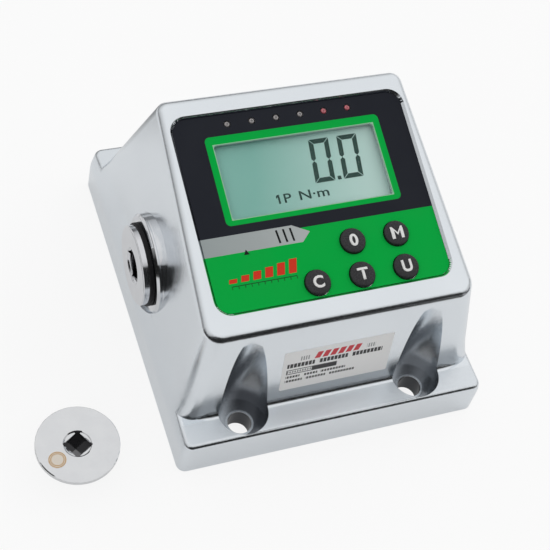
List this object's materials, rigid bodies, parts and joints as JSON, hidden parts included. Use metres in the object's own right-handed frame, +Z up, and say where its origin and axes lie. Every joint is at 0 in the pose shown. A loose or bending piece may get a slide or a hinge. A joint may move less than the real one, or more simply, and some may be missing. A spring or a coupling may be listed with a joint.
{
  "type": "digital torque tester",
  "caption": "Bench torque tester: cast housing with sloped display panel, round keys and a square drive port in its side, with a loose square drive adapter beside it.",
  "frame": {"origin": "on the underside of the foot, at the centre of the four bolt holes", "axes": "+Z up, +Y towards the back, +X to the right when facing the display"},
  "size_m": [0.226, 0.1857, 0.1098],
  "materials": {
    "cast_alloy": "satin",
    "polished_alloy": "polished",
    "bronze": "machined",
    "seal_rubber": "matte",
    "ground_steel": "ground",
    "gauge_foil": "matte",
    "black_steel": "black oxide",
    "overlay_film": "satin",
    "plate_alloy": "plain",
    "clear_window": "clear",
    "display_glass": "satin",
    "white_plastic": "matte",
    "strip_rubber": "matte",
    "clear_epoxy": "clear",
    "red_epoxy": "diffused",
    "key_black": "glossy",
    "switch_stem": "matte",
    "switch_black": "matte",
    "board_green": "satin",
    "zinc_steel": "zinc",
    "chip_black": "matte",
    "label_paper": "satin",
    "black_plastic": "matte",
    "cell_jacket": "printed jacket",
    "nickel_strip": "nickel",
    "grey_lead": "matte",
    "red_black_lead": "matte",
    "mirror_steel": "polished",
    "gold_foil": "foil"
  },
  "bodies": {
    "tester": {"base_cover": "plate_alloy", "battery_cable": "red_black_lead", "battery_cells": "cell_jacket", "battery_contacts": "nickel_strip", "battery_holder": "black_plastic", "board_chips": "chip_black", "board_connectors": "white_plastic", "board_screws": "zinc_steel", "buzzer": "chip_black", "clear_leds": "clear_epoxy", "cover_screws": "zinc_steel", "drive_collar": "polished_alloy", "graphic_overlay": "overlay_film", "housing": "cast_alloy", "key_switches": "switch_black", "lcd_glass": "display_glass", "lcd_holder": "white_plastic", "lcd_lens": "clear_window", "main_board": "board_green", "panel_plate": "plate_alloy", "port_bush": "bronze", "port_seal": "seal_rubber", "rating_label": "label_paper", "red_leds": "red_epoxy", "sensor_cable": "grey_lead", "sensor_screws": "black_steel", "strain_gauges": "gauge_foil", "torque_sensor": "ground_steel", "zebra_strips": "strip_rubber"},
    "clear_key": {"key_clear": "key_black", "plunger_clear": "switch_stem"},
    "track_key": {"key_track": "key_black", "plunger_track": "switch_stem"},
    "unit_key": {"key_unit": "key_black", "plunger_unit": "switch_stem"},
    "zero_key": {"key_zero": "key_black", "plunger_zero": "switch_stem"},
    "mode_key": {"key_mode": "key_black", "plunger_mode": "switch_stem"},
    "door": {"battery_door": "black_plastic", "door_screws": "zinc_steel"},
    "loose_adapter": {"adapter": "mirror_steel", "adapter_seal": "gold_foil"},
    "detent": {"detent_ball": "mirror_steel", "detent_spring": "nickel_strip"}
  },
  "joints": [
    {"name": "clear_key_press", "type": "slide", "parent": "tester", "child": "clear_key", "axis": [0, 0.2807, -0.9598], "range_m": [0, 0.0005], "stiffness_N_per_m": 2000, "springref_m": -0.0003},
    {"name": "track_key_press", "type": "slide", "parent": "tester", "child": "track_key", "axis": [0, 0.2807, -0.9598], "range_m": [0, 0.0005], "stiffness_N_per_m": 2000, "springref_m": -0.0003},
    {"name": "unit_key_press", "type": "slide", "parent": "tester", "child": "unit_key", "axis": [0, 0.2807, -0.9598], "range_m": [0, 0.0005], "stiffness_N_per_m": 2000, "springref_m": -0.0003},
    {"name": "zero_key_press", "type": "slide", "parent": "tester", "child": "zero_key", "axis": [0, 0.2807, -0.9598], "range_m": [0, 0.0005], "stiffness_N_per_m": 2000, "springref_m": -0.0003},
    {"name": "mode_key_press", "type": "slide", "parent": "tester", "child": "mode_key", "axis": [0, 0.2807, -0.9598], "range_m": [0, 0.0005], "stiffness_N_per_m": 2000, "springref_m": -0.0003},
    {"name": "battery_door_drop", "type": "slide", "parent": "tester", "child": "door", "axis": [0, 0, -1], "range_m": [0, 0.015]},
    {"name": "adapter_lift", "type": "slide", "parent": "tester", "child": "loose_adapter", "axis": [0, 0, 1], "range_m": [0, 0.04]},
    {"name": "detent_ball_press", "type": "slide", "parent": "loose_adapter", "child": "detent", "axis": [-0.848, -0.5299, 0], "range_m": [0, 0.0005], "stiffness_N_per_m": 3000, "springref_m": -0.0005}
  ]
}
